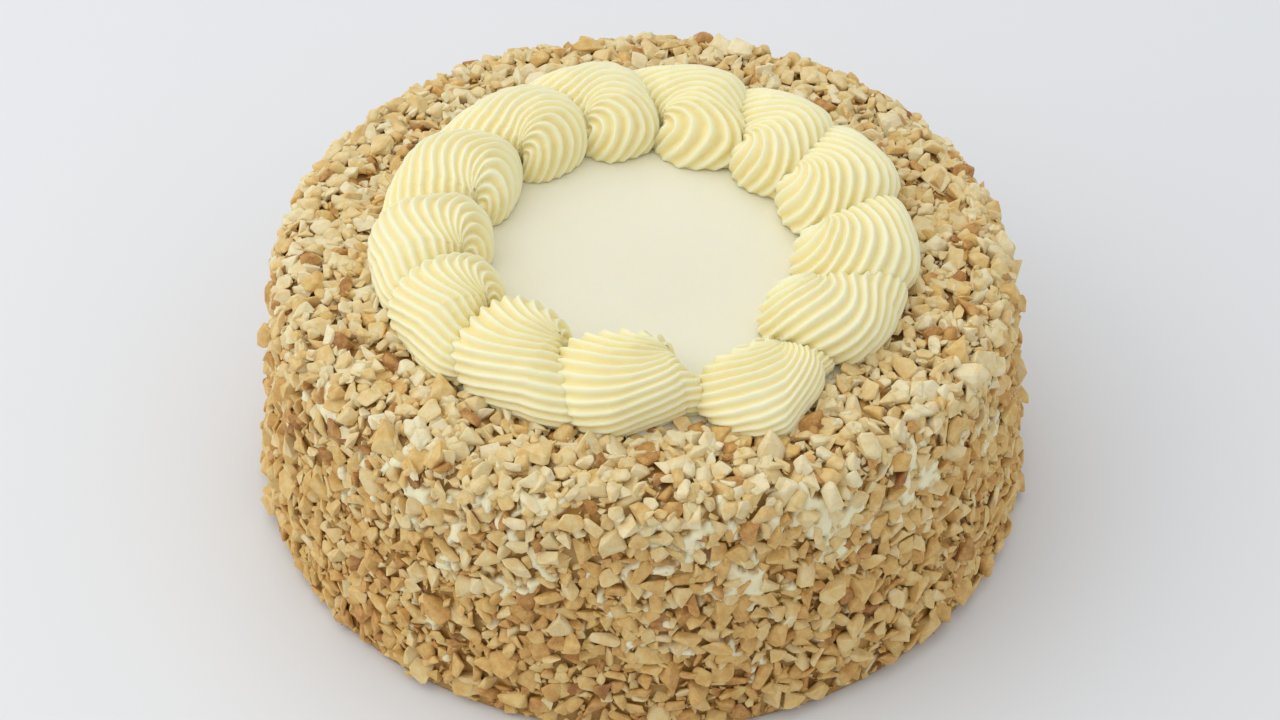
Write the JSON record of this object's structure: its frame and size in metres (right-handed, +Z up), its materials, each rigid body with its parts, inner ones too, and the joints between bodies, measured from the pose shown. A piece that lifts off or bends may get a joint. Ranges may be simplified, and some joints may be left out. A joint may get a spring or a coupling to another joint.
{
  "type": "sans rival cake",
  "caption": "Round uncut layer cake in buttercream, side and top edge coated with chopped toasted cashews, with a smooth centre and a piped swirl border.",
  "frame": {"origin": "middle of the flat bottom", "axes": "+Z up through the middle of the cake; the front of the picture's view is -Y"},
  "size_m": [0.2164, 0.2159, 0.0918],
  "materials": {
    "nut_coat": "matte, chopped toasted nuts in buttercream",
    "smooth_cream": "smooth buttercream, soft sheen",
    "piped_cream": "piped buttercream, soft sheen"
  },
  "bodies": {
    "root": {"cake": "nut_coat", "cream_top": "smooth_cream", "swirl_01": "piped_cream", "swirl_02": "piped_cream", "swirl_03": "piped_cream", "swirl_04": "piped_cream", "swirl_05": "piped_cream", "swirl_06": "piped_cream", "swirl_07": "piped_cream", "swirl_08": "piped_cream", "swirl_09": "piped_cream", "swirl_10": "piped_cream", "swirl_11": "piped_cream", "swirl_12": "piped_cream", "swirl_13": "piped_cream"}
  },
  "joints": []
}
